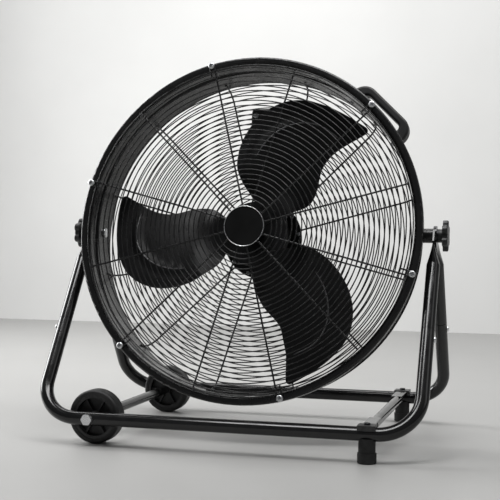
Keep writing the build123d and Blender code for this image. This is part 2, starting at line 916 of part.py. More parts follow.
def pivot_bolt():
    inner, washer_start, boss_start = pivot_levels()
    sag = drum_radius - sqrt(drum_radius**2 - pivot_head_radius**2)
    seat = drum_radius - sag - seat_gap
    head = disc(pivot_head_radius, seat - pivot_head_height, seat)
    head = fillet(head.edges().sort_by(Axis.Z)[0], pivot_head_height * 0.6)
    return head + disc(pivot_bolt_radius, seat - overcut, boss_start + clamp_bore_depth - overcut)


def pivot_spacer():
    inner, washer_start, boss_start = pivot_levels()
    return sleeve(spacer_radius, pivot_bolt_radius + hole_gap, drum_outer - 2 * overcut, inner - body_gap)


def clamp_washer():
    inner, washer_start, boss_start = pivot_levels()
    hole = pivot_bolt_radius + running_gap
    return sleeve(washer_radius, hole, washer_start, washer_start + washer_thickness)


def clamp_knob():
    inner, washer_start, boss_start = pivot_levels()
    star_start = boss_start + clamp_boss_length
    star_end = star_start + clamp_star_thickness
    lobe_place = clamp_star_radius - clamp_lobe_radius
    outline = Circle(lobe_place + clamp_lobe_radius * 0.25)
    for place in ring_of(clamp_lobes, 0, lobe_place):
        outline += place * Circle(clamp_lobe_radius)
    star = extrude(outline, clamp_star_thickness)
    star = fillet(star.faces().sort_by(Axis.Z)[-1].edges(), clamp_edge)
    knob = Pos(0, 0, star_start) * star + disc(clamp_boss_radius, boss_start, star_end - clamp_edge)
    return knob - disc(pivot_bolt_radius + running_gap, boss_start - overcut, boss_start + clamp_bore_depth)


# Axle, wheels and the tube between them
def rail_inner():
    return rail_spread - tube_radius


def rail_outer():
    return rail_spread + tube_radius


def axle_spot(shape):
    """Place a shape built on the Z axis on the axle, with Z towards the front."""
    return Pos(axle_place, 0, axle_height) * along_y(shape)


def axle_bolt():
    seat = rail_outer() + seat_gap
    rod = disc(axle_radius, -seat - hex_height, seat)
    return rod + hexagon(hex_flats, seat, seat + hex_height)


def axle_nut():
    seat = rail_outer() + seat_gap
    nut = hexagon(hex_flats, -seat - hex_height, -seat)
    return nut - disc(axle_radius + seat_gap, -seat - 2 * hex_height, -seat + overcut)


def wheel_span():
    return wheel_place - wheel_width / 2, wheel_place + wheel_width / 2


def axle_spacer(side):
    low = wheel_span()[1] + body_gap
    high = rail_inner() - seat_gap
    ring = sleeve(axle_spacer_radius, axle_radius + seat_gap, low, high)
    return ring if side > 0 else mirror(ring, Plane.XY)


def tube_end():
    return wheel_span()[0] - body_gap - plug_flange


def axle_tube():
    end = tube_end() - seat_gap
    return sleeve(axle_tube_radius, axle_tube_radius - axle_tube_wall, -end, end)


def axle_plug(side):
    end = tube_end()
    bore = axle_radius + seat_gap
    plug = sleeve(axle_tube_radius, bore, end, end + plug_flange)
    plug += sleeve(axle_tube_radius - axle_tube_wall - seat_gap, bore, end - plug_length, end + overcut)
    return plug if side > 0 else mirror(plug, Plane.XY)


def wheel_hub():
    half = wheel_width / 2
    hub = disc(wheel_boss_radius, -half, half)
    hub += disc(wheel_rim_inner + overcut, -wheel_web / 2, wheel_web / 2)
    hub += sleeve(wheel_rim_outer, wheel_rim_inner, -wheel_rim_width / 2, wheel_rim_width / 2)
    reach = wheel_rim_inner - wheel_boss_radius + 2 * overcut
    for place in ring_of(wheel_ribs, wheel_first_rib, wheel_boss_radius - overcut + reach / 2):
        hub += place * Box(reach, wheel_rib, wheel_rib_width)
    return hub - disc(axle_radius + running_gap, -half - overcut, half + overcut)


def tyre():
    inner = wheel_rim_outer + seat_gap
    section = Pos((inner + tyre_radius) / 2, 0) * Rectangle(tyre_radius - inner, tyre_width)
    section = fillet(section.vertices().sort_by(Axis.X)[-2:], tyre_round)
    return revolve(Plane.XZ * section, Axis.Z, 360)


def wheel_spot(side, shape):
    return Pos(axle_place, side * wheel_place, axle_height) * along_y(shape)


# Cross bar, saddles and feet
def tongue_bottom():
    return rail_top + seat_gap


def tongue_top():
    return tongue_bottom() + tongue_thickness


def cross_bar():
    """Tube whose top is drawn out into a flat tongue at each end."""
    end = rail_spread - saddle_half_width - bar_end_gap
    bar = along_y(sleeve(bar_radius, bar_radius - bar_wall, -end, end))
    bar = Pos(foot_place, 0, tongue_top() - bar_radius) * bar
    reach = rail_spread + tongue_reach
    for side in frame_sides:
        middle = side * (reach + end - tongue_root) / 2
        length = reach - end + tongue_root
        tongue = Box(tongue_width, length, tongue_thickness, align=low_align)
        bar += Pos(foot_place, middle, tongue_bottom()) * tongue
        hole = Cylinder(saddle_screw_shank + hole_gap, 8 * tongue_thickness)
        bar -= Pos(foot_place, side * rail_spread, tongue_bottom()) * hole
    return bar


def saddle(side):
    """Plastic cap over a tongue, hugging the top of the rail."""
    top = tongue_top() + seat_gap + saddle_cover
    low = rail_top - saddle_skirt
    block = Pos(0, 0, low) * Box(saddle_length, 2 * saddle_half_width, top - low, align=low_align)
    block = fillet(block.faces().sort_by(Axis.Z)[-1].edges(), saddle_edge)
    block -= Pos(0, 0, rail_height) * along_x(Cylinder(tube_radius + seat_gap, 2 * saddle_length))
    slot_high = tongue_top() + seat_gap
    slot = Box(tongue_width + 2 * seat_gap, 4 * saddle_half_width, slot_high - low, align=low_align)
    inward = -side * (2 * saddle_half_width - tongue_reach - seat_gap)
    block -= Pos(0, inward, low) * slot
    block -= Pos(0, 0, top) * Cylinder(saddle_screw_shank + hole_gap, 8 * saddle_cover)
    return Pos(foot_place, side * rail_spread, 0) * block


def foot(side):
    """Stepped rubber foot whose top wraps the underside of the rail."""
    pad = disc(foot_radius, 0, foot_pad_height)
    pad = fillet(pad.edges().sort_by(Axis.Z)[0], foot_edge)
    body = pad + disc(foot_neck_radius, foot_pad_height - overcut, rail_height - tube_radius + foot_wrap)
    body -= Pos(0, 0, rail_height) * along_x(Cylinder(tube_radius + seat_gap, 4 * foot_radius))
    floor = rail_height - tube_radius - saddle_screw_bite - overcut
    body -= disc(saddle_screw_shank + hole_gap, floor, rail_height)
    return Pos(foot_place, side * rail_spread, 0) * body


def saddle_screw(side):
    seat = tongue_top() + 2 * seat_gap + saddle_cover
    length = seat - (rail_height - tube_radius - saddle_screw_bite)
    screw = pan_screw(saddle_screw_head, saddle_screw_head_height, saddle_screw_shank, length)
    return Pos(foot_place, side * rail_spread, seat) * screw


# Stand
for side, end in zip(frame_sides, ("front", "rear")):
    save(f"{end}_frame_tube", frame_tube(side))
    for hand, name in zip(pivot_sides, ("left", "right")):
        save(f"{end}_{name}_leg", upper_leg(side, hand))
    save(f"{end}_saddle", saddle(side))
    save(f"{end}_foot", foot(side))
save("leg_screws", *[leg_screw(side, hand) for side in frame_sides for hand in pivot_sides])
save("cross_bar", cross_bar())
save("saddle_screws", *[saddle_screw(side) for side in frame_sides])
save("axle_bolt", axle_spot(axle_bolt()))
save("axle_nut", axle_spot(axle_nut()))
save("axle_spacers", *[axle_spot(axle_spacer(side)) for side in frame_sides])
save("axle_tube", axle_spot(axle_tube()))
save("axle_tube_plugs", *[axle_spot(axle_plug(side)) for side in frame_sides])


def on_pivot(hand, shape):
    """Place a shape built on the Z axis on the pivot axis, with Z pointing outwards."""
    return Pos(0, 0, pivot_height) * Rot(0, hand * 90, 0) * shape


save("clamp_washers", *[on_pivot(hand, clamp_washer()) for hand in pivot_sides])
for hand, name in zip(pivot_sides, ("left", "right")):
    save(f"{name}_clamp_knob", on_pivot(hand, clamp_knob()))

# Wheels
for side, end in zip(frame_sides, ("front", "rear")):
    save(f"{end}_wheel_hub", wheel_spot(side, wheel_hub()))
    save(f"{end}_tyre", wheel_spot(side, tyre()))

# Drum
save_drum("drum_shroud", drum_shroud())
save_drum("front_grille", front_grille())
save_drum("rear_grille", rear_grille())
front_seat = spoke_face + spoke_wire + seat_gap
front_screws = [Rot(0, 0, a) * Pos(front_screw_radius, 0, front_seat) * grille_screw() for a in screw_angles]
save_drum("front_grille_screws", *front_screws)
save_drum("hub_badge", hub_badge())
save_drum("carry_handle", carry_handle())
handle_screw = pan_screw(handle_screw_head, handle_screw_head_height, handle_screw_shank, handle_screw_length)
handle_seat = Pos(0, 0, -2 * seat_gap) * Rot(180, 0, 0)
save_drum("handle_screws", *[place * handle_seat * handle_screw for place in handle_screw_places()])
save("pivot_bolts", *[on_pivot(hand, pivot_bolt()) for hand in pivot_sides])
drum_space = Cylinder(drum_outer + seat_gap, through_cut)
save_drum("pivot_spacers", *[Rot(0, hand * 90, 0) * pivot_spacer() - drum_space for hand in pivot_sides])
save_drum("motor_plate", ring_plate(plate_front - plate_thickness))
plate_screw = pan_screw(plate_screw_head, plate_screw_head_height, plate_screw_shank, plate_screw_length)
plate_seat = Pos(0, 0, plate_front + seat_gap)
save_drum("motor_plate_screws", *[place * plate_seat * plate_screw for place in plate_screw_places()])
save_drum("motor_front_cover", motor_front_cover())
save_drum("motor_rear_cover", motor_rear_cover())
flange_bolt = pan_screw(flange_bolt_head, flange_bolt_head_height, flange_bolt_shank, flange_bolt_length)
flange_seat = Pos(0, 0, plate_front + motor_flange + 2 * seat_gap)
save_drum("motor_flange_bolts", *[place * flange_seat * flange_bolt for place in flange_bolt_places()])
save_drum("stator_core", stator_core())
save_drum("stator_windings", *windings())
save_drum("front_bearing", bearing(motor_front - motor_wall - bearing_width))
save_drum("rear_bearing", bearing(motor_rear + motor_wall))
save_drum("switch_plate", on_box(switch_plate()))
save_drum("switch_housing", on_box(switch_housing()))
save_drum("switch_housing_screws", *[on_box(box_screw(*spot)) for spot in box_screw_spots()])
save_drum("rotary_switch", on_box(rotary_switch()))
save_drum("capacitor", on_box(capacitor()))
save_drum("cable_gland", on_box(cable_gland()))
save_drum("speed_knob", on_box(speed_knob()))

# Impeller
one_blade = blade()
for k in range(blade_count):
    save_drum(f"blade_{k + 1}", Rot(0, 0, blade_first + blade_step * k) * one_blade)
save_drum("blade_hub", blade_hub())
rivet_seat = Pos(0, 0, hub_plane + blade_sheet + seat_gap)
rivets = []
for k in range(blade_count):
    turn = Rot(0, 0, blade_first + blade_step * k)
    rivets += [turn * place * rivet_seat * rivet() for place in rivet_places()]
save_drum("blade_rivets", *rivets)
save_drum("motor_shaft", motor_shaft())
save_drum("rotor_core", rotor_core())
shaft_nut = hexagon(nut_flats, hub_boss_front + seat_gap, hub_boss_front + seat_gap + nut_height)
save_drum("shaft_nut", shaft_nut - disc(shaft_radius + seat_gap, hub_boss_front, shaft_nose + overcut))
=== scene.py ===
import json
import math

import bmesh
import bpy
from mathutils import Matrix, Vector


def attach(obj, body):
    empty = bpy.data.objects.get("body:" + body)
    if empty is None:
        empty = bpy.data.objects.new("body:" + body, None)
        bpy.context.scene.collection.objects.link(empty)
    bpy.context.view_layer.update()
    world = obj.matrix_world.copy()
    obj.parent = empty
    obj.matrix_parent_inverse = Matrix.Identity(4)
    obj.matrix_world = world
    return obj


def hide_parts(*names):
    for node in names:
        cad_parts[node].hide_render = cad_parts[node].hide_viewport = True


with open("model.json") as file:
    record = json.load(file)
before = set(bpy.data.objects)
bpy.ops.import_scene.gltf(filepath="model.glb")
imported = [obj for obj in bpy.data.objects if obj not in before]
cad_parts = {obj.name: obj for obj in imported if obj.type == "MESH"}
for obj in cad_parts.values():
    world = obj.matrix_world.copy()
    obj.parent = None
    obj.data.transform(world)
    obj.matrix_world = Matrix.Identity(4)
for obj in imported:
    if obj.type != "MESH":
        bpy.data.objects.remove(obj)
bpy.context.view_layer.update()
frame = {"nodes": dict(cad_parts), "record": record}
nodes = frame["nodes"]

# Sizes shared with the solids, in metres and degrees
MM = 0.001
SEAT_GAP = 0.05 * MM
PIVOT_HEIGHT = 400 * MM
REST_TILT = 10.0
DRUM_RADIUS = 328 * MM
DRUM_BACK = 38 * MM
RIM_FRONT = 82 * MM
SPOKE_WIRE = 3.6 * MM
RING_WIRE = 2.4 * MM
WELD_SINK = 0.8 * MM
RING_STEP = (SPOKE_WIRE + RING_WIRE) / 2 - WELD_SINK
SPOKE_LEVEL = RIM_FRONT + SEAT_GAP + SPOKE_WIRE / 2
FRONT_RING_LEVEL = SPOKE_LEVEL + RING_STEP
FRONT_SCREW_RADIUS = 339.5 * MM
HAIRPIN_HALF = 4.5 * MM
HAIRPIN_LENGTH = 24 * MM
HUB_PLATE_RADIUS = 36 * MM
HUB_PLATE_HOLE = 12 * MM
PLATE_RADIUS = 82 * MM
PLATE_FRONT = -60 * MM
PLATE_THICKNESS = 2.5 * MM
RING_PLATE_BACK = PLATE_FRONT - 2 * PLATE_THICKNESS - SEAT_GAP
MOTOR_HOLE = 60.6 * MM
BASKET_DEPTH = 18 * MM
BASKET_LEVEL = -(DRUM_BACK + BASKET_DEPTH)
BADGE_RADIUS = 40 * MM
BADGE_TOP = 91.5 * MM
RING_PITCH = 10 * MM
FRONT_FIRST_RING = 54 * MM
FRONT_RING_COUNT = 27
RIM_RINGS = [321.5 * MM, 327 * MM]
REAR_FIRST_RING = 92 * MM
REAR_RING_COUNT = 21
BEND_RING_TURNS = (75, 50, 25)
BASKET_INNER = 71.2 * MM
BASKET_START = RING_PLATE_BACK - SPOKE_WIRE / 2 + WELD_SINK
BASKET_BEND = 28 * MM
BASKET_REACH = -6 * MM
BASKET_WALL = DRUM_RADIUS - SEAT_GAP - SPOKE_WIRE / 2
BASKET_SLOPE = (BASKET_LEVEL - BASKET_START) / (BASKET_WALL - PLATE_RADIUS)
LEG_PLANE = 360 * MM
RAIL_SPREAD = 237 * MM
RAIL_HEIGHT = 51 * MM
TUBE_RADIUS = 12.7 * MM
FOOT_PLACE = 269 * MM
SADDLE_SEAT = 67.85 * MM
BOX_MIDDLE = -3 * MM
BOX_CENTRE = 242 * MM
BLADE_COUNT = 3
BLADE_FIRST = 44
BLADE_STEP = 360 / BLADE_COUNT
RIDGE_RADIUS = 255 * MM
RIDGE_CURL = 0.1 * MM
RIDGE_BOW = 14
SPOKE_COUNT = 12
SPOKE_STEP = 360 / SPOKE_COUNT
SPOKE_ANGLES = [SPOKE_STEP * (k + 0.5) for k in range(SPOKE_COUNT)]
SCREW_ANGLES = SPOKE_ANGLES[1::2]
PLAIN_ANGLES = SPOKE_ANGLES[0::2]
LEG_SCREW_DROP = 18 * MM
HANDLE_ANGLE = 45
HANDLE_SCREW_HALF = 61 * MM
HANDLE_PLACE = -2 * MM
RIM_SCREW_SEAT = RIM_FRONT + SPOKE_WIRE + 2 * SEAT_GAP
PLATE_SCREW_COUNT = 12
PLATE_SCREW_STEP = 360 / PLATE_SCREW_COUNT
PLATE_SCREW_RADIUS = 76 * MM
PLATE_SCREW_FIRST = 9
BOX_SCREW_SIDES = (-26 * MM, 26 * MM)
BOX_SCREW_GAPS = (13, 18)
BOTH_SIDES = (-1, 1)

# Sizes of what only the scene has, in metres and degrees
STAGE_HALF = 6
WALL_PLACE = 2.6
WALL_HEIGHT = 5
TRIM_WIRE = 0.55 * MM
CREASE_RADIUS = 1.6 * MM
CREASE_START = 6
CREASE_END = 46
CREASE_POINTS = 31
CREASE_FADE = 6
CREASE_SINK = 1.1 * CREASE_RADIUS
ABOVE_BLADES = 0.2
SAME_POINT = 1e-6

# Faces round each kind of wire and turned piece, and the angles that stay sharp
FRONT_RING_SIDES = 10
FRONT_SPOKE_SIDES = 12
REAR_RING_SIDES = 8
REAR_SPOKE_SIDES = 10
TRIM_SIDES = 8
TRIM_SEGMENTS = 120
CREASE_SIDES = 12
HEAD_SEGMENTS = 28
WIRE_SMOOTH_ANGLE = 40
SOLID_SMOOTH_ANGLE = 32
SCREW_SMOOTH_ANGLE = 35

# Screws, as shares of the head's radius or height or of the shank's radius, and the turn between recesses
HEAD_ROUNDING = 0.6
HEAD_FLAT = 0.35
TIP_RADIUS = 0.8
TIP_LENGTH = 0.3
CROSS_HALF_LENGTH = 0.52
CROSS_HALF_WIDTH = 0.13
CROSS_FLOOR = 0.35
CROSS_TURN = 37

# Colours of dust, wear, painted shade in hollows and wire
PAINT_DUST = (0.42, 0.40, 0.37)
PLASTIC_DUST = (0.40, 0.38, 0.35)
RUBBED_PAINT = (0.10, 0.10, 0.105)
SCUFFED_PLASTIC = (0.11, 0.11, 0.11)
SCUFFED_RUBBER = (0.05, 0.049, 0.047)
HOLLOW_SHADE = (0.06, 0.06, 0.06)
COPPER_SHADE = (0.45, 0.16, 0.06)
COPPER_LIGHT = (0.62, 0.28, 0.12)

DRUM = Matrix.Translation((0, 0, PIVOT_HEIGHT)) @ Matrix.Rotation(math.radians(90 - REST_TILT), 4, "X")


def turn(angle, axis="Z"):
    """Turn by degrees about an axis."""
    return Matrix.Rotation(math.radians(angle), 4, axis)


def shift(x, y, z):
    return Matrix.Translation((x, y, z))


# Mesh helpers
def smooth(mesh, angle):
    """Shade smooth, with a sharp edge wherever the faces turn by more than the angle."""
    mesh.shade_smooth()
    mesh.set_sharp_from_angle(angle=math.radians(angle))


def linked(name, data):
    """New object in the scene."""
    obj = bpy.data.objects.new(name, data)
    bpy.context.scene.collection.objects.link(obj)
    return obj


class Shape:
    """Vertices and faces gathered for one piece."""

    def __init__(self):
        self.points = []
        self.faces = []

    def add(self, points, faces, matrix=None):
        start = len(self.points)
        matrix = matrix or Matrix()
        self.points += [matrix @ Vector(p) for p in points]
        self.faces += [[start + i for i in face] for face in faces]

    def mesh(self, name):
        mesh = bpy.data.meshes.new(name)
        mesh.from_pydata([tuple(p) for p in self.points], [], self.faces)
        return mesh

    def piece(self, name, body, material):
        mesh = self.mesh(name)
        mesh.validate()
        mesh.materials.append(material)
        smooth(mesh, WIRE_SMOOTH_ANGLE)
        obj = linked(name, mesh)
        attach(obj, body)
        return obj


def tube(path, radius, sides, closed=False):
    """Round wire along a path: points and faces."""
    count = len(path)
    path = [Vector(p) for p in path]
    points, faces = [], []
    normal = None
    for i, p in enumerate(path):
        if closed:
            ahead = path[(i + 1) % count] - path[i - 1]
        else:
            ahead = path[min(i + 1, count - 1)] - path[max(i - 1, 0)]
        ahead.normalize()
        if normal is None:
            guess = Vector((0, 0, 1)) if abs(ahead.z) < 0.9 else Vector((0, 1, 0))
            normal = (guess - ahead * guess.dot(ahead)).normalized()
        else:
            normal = (normal - ahead * normal.dot(ahead)).normalized()
        side = ahead.cross(normal)
        for k in range(sides):
            a = 2 * math.pi * k / sides
            points.append(p + (normal * math.cos(a) + side * math.sin(a)) * radius)
    rows = count if closed else count - 1
    for i in range(rows):
        j = (i + 1) % count
        for k in range(sides):
            n = (k + 1) % sides
            faces.append([i * sides + k, i * sides + n, j * sides + n, j * sides + k])
    if not closed:
        faces.append(list(reversed(range(sides))))
        faces.append([(count - 1) * sides + k for k in range(sides)])
    return points, faces


def lathe(profile, segments=64, closed=True):
    """Profile of (radius, level) points turned about Z; a closed profile gives a ring."""
    points, faces = [], []
    count = len(profile)
    for s in range(segments):
        a = 2 * math.pi * s / segments
        points += [(r * math.cos(a), r * math.sin(a), z) for r, z in profile]
    rows = count if closed else count - 1
    for s in range(segments):
        t = (s + 1) % segments
        for k in range(rows):
            n = (k + 1) % count
            faces.append([s * count + k, t * count + k, t * count + n, s * count + n])
    return points, faces


def circle(radius, level, segments=160):
    """Points round the Z axis."""
    angles = [2 * math.pi * k / segments for k in range(segments)]
    return [(radius * math.cos(a), radius * math.sin(a), level) for a in angles]


def arc(cx, cy, radius, start, end, steps):
    """Flat points of an arc, from one angle to another in degrees."""
    angles = [math.radians(start + (end - start) * k / steps) for k in range(steps + 1)]
    return [(cx + radius * math.cos(a), cy + radius * math.sin(a)) for a in angles]


def flat_ring(inner, outer, low, high):
    """Washer between two levels."""
    return lathe([(inner, low), (outer, low), (outer, high), (inner, high)])


# Materials
def new_material(name):
    """Material with its node tree, its shader and the object's own coordinates."""
    material = bpy.data.materials.new(name)
    material.use_nodes = True
    tree = material.node_tree
    shader = tree.nodes["Principled BSDF"]
    coordinate = tree.nodes.new("ShaderNodeTexCoord")
    return material, tree, shader, coordinate.outputs["Object"]


def noise(tree, vector, scale, detail=3.0, roughness=0.5):
    node = tree.nodes.new("ShaderNodeTexNoise")
    node.inputs["Scale"].default_value = scale
    node.inputs["Detail"].default_value = detail
    node.inputs["Roughness"].default_value = roughness
    tree.links.new(vector, node.inputs["Vector"])
    return node.outputs["Fac"]


def span(tree, value, low, high, from_low=0.3, from_high=0.7):
    """Value spread over a new range."""
    node = tree.nodes.new("ShaderNodeMapRange")
    node.inputs["From Min"].default_value = from_low
    node.inputs["From Max"].default_value = from_high
    node.inputs["To Min"].default_value = low
    node.inputs["To Max"].default_value = high
    tree.links.new(value, node.inputs["Value"])
    return node.outputs["Result"]


def mix(tree, factor, first, second):
    """Blend of two colours, each given by its numbers or by a texture."""
    node = tree.nodes.new("ShaderNodeMix")
    node.data_type = "RGBA"
    for socket, value in (("A", first), ("B", second)):
        target = [i for i in node.inputs if i.name == socket and i.type == "RGBA"][0]
        if isinstance(value, (tuple, list)):
            target.default_value = (*value, 1)
        else:
            tree.links.new(value, target)
    target = [i for i in node.inputs if i.name == "Factor" and i.type == "VALUE"][0]
    tree.links.new(factor, target)
    return [o for o in node.outputs if o.type == "RGBA"][0]


def times(tree, first, second):
    node = tree.nodes.new("ShaderNodeMath")
    node.operation = "MULTIPLY"
    tree.links.new(first, node.inputs[0])
    if isinstance(second, float):
        node.inputs[1].default_value = second
    else:
        tree.links.new(second, node.inputs[1])
    return node.outputs[0]


def bump(tree, shader, layers):
    """Stack of (height, strength, distance) bumps."""
    previous = None
    for height, strength, distance in layers:
        node = tree.nodes.new("ShaderNodeBump")
        node.inputs["Strength"].default_value = strength
        node.inputs["Distance"].default_value = distance
        tree.links.new(height, node.inputs["Height"])
        if previous:
            tree.links.new(previous, node.inputs["Normal"])
        previous = node.outputs["Normal"]
    tree.links.new(previous, shader.inputs["Normal"])


def upward(tree):
    """Share of a surface that faces up, where dust settles."""
    geometry = tree.nodes.new("ShaderNodeNewGeometry")
    split = tree.nodes.new("ShaderNodeSeparateXYZ")
    tree.links.new(geometry.outputs["Normal"], split.inputs[0])
    return span(tree, split.outputs["Z"], 0.0, 1.0, from_low=0.35, from_high=1.0)


def worn_edges(tree, low=0.52, high=0.60):
    """Share of a surface that is on an outer edge."""
    geometry = tree.nodes.new("ShaderNodeNewGeometry")
    return span(tree, geometry.outputs["Pointiness"], 0.0, 1.0, from_low=low, from_high=high)


def rubbed_share(tree, vector, scale, edges):
    """Edges broken up by noise."""
    return times(tree, edges, span(tree, noise(tree, vector, scale), 0.0, 1.0))


def uneven_gloss(tree, shader, cloud, low, high):
    tree.links.new(span(tree, cloud, low, high), shader.inputs["Roughness"])


def powder_coat(name, colour, rough, peel, dust, worn, gloss=0.5):
    """Powder coat: orange peel, uneven gloss, a little dust on top and rubbed edges."""
    material, tree, shader, vector = new_material(name)
    patch = noise(tree, vector, 9.0, detail=4.0)
    fine = noise(tree, vector, 650.0, detail=2.0)
    speck = noise(tree, vector, 2400.0, detail=2.0)
    lighter = tuple(c * 1.7 + 0.001 for c in colour)
    base = mix(tree, span(tree, patch, 0.0, 0.8), colour, lighter)
    dusty = times(tree, times(tree, upward(tree), span(tree, patch, 0.3, 1.0)), dust)
    base = mix(tree, dusty, base, PAINT_DUST)
    rubbed = times(tree, rubbed_share(tree, vector, 60.0, worn_edges(tree)), worn)
    base = mix(tree, rubbed, base, RUBBED_PAINT)
    tree.links.new(base, shader.inputs["Base Color"])
    uneven_gloss(tree, shader, noise(tree, vector, 35.0, detail=5.0), rough - 0.06, rough + 0.08)
    bump(tree, shader, [(fine, peel, 0.0003), (speck, peel * 0.6, 0.0001)])
    shader.inputs["Specular IOR Level"].default_value = gloss
    return material


def moulded_plastic(name, colour, rough, grain=0.25, gloss=0.5):
    """Grained moulded plastic with faint scuffs."""
    material, tree, shader, vector = new_material(name)
    patch = noise(tree, vector, 25.0, detail=4.0)
    cell = tree.nodes.new("ShaderNodeTexVoronoi")
    cell.inputs["Scale"].default_value = 1100.0
    tree.links.new(vector, cell.inputs["Vector"])
    lighter = tuple(c * 1.8 + 0.003 for c in colour)
    base = mix(tree, span(tree, patch, 0.0, 0.7), colour, lighter)
    scuff = times(tree, rubbed_share(tree, vector, 120.0, worn_edges(tree, 0.51, 0.62)), 0.3)
    base = mix(tree, scuff, base, SCUFFED_PLASTIC)
    dusty = times(tree, times(tree, upward(tree), span(tree, patch, 0.2, 1.0)), 0.012)
    base = mix(tree, dusty, base, PLASTIC_DUST)
    tree.links.new(base, shader.inputs["Base Color"])
    uneven_gloss(tree, shader, noise(tree, vector, 45.0, detail=4.0), rough - 0.05, rough + 0.07)
    wave = noise(tree, vector, 320.0)
    bump(tree, shader, [(cell.outputs["Distance"], grain, 0.00015), (wave, 0.06, 0.0003)])
    shader.inputs["Specular IOR Level"].default_value = gloss
    return material


def rubber(name, colour, rough):
    """Matte rubber with a dusty bloom and fine mould texture."""
    material, tree, shader, vector = new_material(name)
    patch = noise(tree, vector, 40.0, detail=5.0, roughness=0.6)
    bloom = span(tree, patch, 0.0, 1.0, from_low=0.42, from_high=0.75)
    base = mix(tree, bloom, colour, tuple(c * 2.2 + 0.006 for c in colour))
    scuff = times(tree, rubbed_share(tree, vector, 90.0, worn_edges(tree, 0.51, 0.60)), 0.35)
    base = mix(tree, scuff, base, SCUFFED_RUBBER)
    tree.links.new(base, shader.inputs["Base Color"])
    uneven_gloss(tree, shader, noise(tree, vector, 70.0), rough - 0.08, rough + 0.1)
    pore = noise(tree, vector, 900.0, detail=4.0)
    bump(tree, shader, [(pore, 0.3, 0.0002), (patch, 0.1, 0.0006)])
    return material


def plated_steel(name, colour, rough, stain):
    """Plated or ground steel: fine directional lines, cloudy gloss and painted shade darkening the
    recesses.
    """
    material, tree, shader, vector = new_material(name)
    patch = noise(tree, vector, 130.0, detail=4.0)
    stretch = tree.nodes.new("ShaderNodeMapping")
    stretch.inputs["Scale"].default_value = (1.0, 1.0, 14.0)
    tree.links.new(vector, stretch.inputs["Vector"])
    line = noise(tree, stretch.outputs["Vector"], 420.0)
    base = mix(tree, span(tree, patch, 0.0, stain), colour, tuple(c * 0.72 for c in colour))
    geometry = tree.nodes.new("ShaderNodeNewGeometry")
    # Painted shade: where the surface is hollow (low pointiness) the colour is darkened towards a shade
    # colour
    painted_shade = span(tree, geometry.outputs["Pointiness"], 0.8, 0.0, from_low=0.42, from_high=0.5)
    base = mix(tree, painted_shade, base, HOLLOW_SHADE)
    tree.links.new(base, shader.inputs["Base Color"])
    shader.inputs["Metallic"].default_value = 1.0
    uneven_gloss(tree, shader, noise(tree, vector, 260.0), rough - 0.08, rough + 0.12)
    bump(tree, shader, [(line, 0.12, 0.0001)])
    return material


def enamelled_copper(name):
    """Wound wire: fine turns of lacquered copper."""
    material, tree, shader, vector = new_material(name)
    wave = tree.nodes.new("ShaderNodeTexWave")
    wave.inputs["Scale"].default_value = 320.0
    wave.inputs["Distortion"].default_value = 2.0
    tree.links.new(vector, wave.inputs["Vector"])
    base = mix(tree, wave.outputs["Fac"], COPPER_SHADE, COPPER_LIGHT)
    tree.links.new(base, shader.inputs["Base Color"])
    shader.inputs["Metallic"].default_value = 0.6
    uneven_gloss(tree, shader, noise(tree, vector, 90.0), 0.28, 0.45)
    bump(tree, shader, [(wave.outputs["Fac"], 0.5, 0.0003)])
    return material


stand_paint = powder_coat(
    "stand_powder_coat", (0.0030, 0.0030, 0.0031), rough=0.15, peel=0.07, dust=0.008, worn=0.08
)
drum_paint = powder_coat(
    "drum_powder_coat", (0.0032, 0.0032, 0.0033), rough=0.25, peel=0.08, dust=0.010, worn=0.05
)
wire_paint = powder_coat(
    "wire_powder_coat", (0.005, 0.005, 0.0052), rough=0.26, peel=0.04, dust=0.008, worn=0.05
)
blade_paint = powder_coat(
    "blade_paint", (0.0030, 0.0030, 0.0032), rough=0.42, peel=0.08, dust=0.006, worn=0.08, gloss=0.3
)
# Much lighter than the blade's black: a painted highlight along the crease of each blade
crease_highlight_paint = powder_coat(
    "crease_highlight_paint", (0.075, 0.075, 0.077), rough=0.24, peel=0.05, dust=0.01, worn=0.10, gloss=0.8
)
motor_paint = powder_coat(
    "motor_paint", (0.004, 0.004, 0.004), rough=0.42, peel=0.15, dust=0.02, worn=0.15, gloss=0.4
)
black_plastic = moulded_plastic("grained_plastic", (0.0045, 0.0045, 0.0047), rough=0.45)
knob_plastic = moulded_plastic("knob_plastic", (0.005, 0.005, 0.0052), rough=0.40, grain=0.15)
badge_plastic = moulded_plastic(
    "badge_plastic", (0.0025, 0.0025, 0.0026), rough=0.32, grain=0.04, gloss=0.25
)
pale_plastic = moulded_plastic("pale_plastic", (0.62, 0.61, 0.57), rough=0.38, grain=0.1)
foot_rubber = rubber("foot_rubber", (0.0035, 0.0035, 0.0035), rough=0.72)
tyre_rubber = rubber("tyre_rubber", (0.0035, 0.0035, 0.0036), rough=0.58)
zinc = plated_steel("zinc_plate", (0.78, 0.79, 0.80), rough=0.30, stain=0.25)
ground_steel = plated_steel("ground_steel", (0.62, 0.62, 0.62), rough=0.24, stain=0.15)
black_zinc = plated_steel("black_zinc", (0.035, 0.035, 0.037), rough=0.34, stain=0.4)
core_steel = plated_steel("core_steel", (0.28, 0.28, 0.29), rough=0.5, stain=0.5)
copper = enamelled_copper("winding_copper")

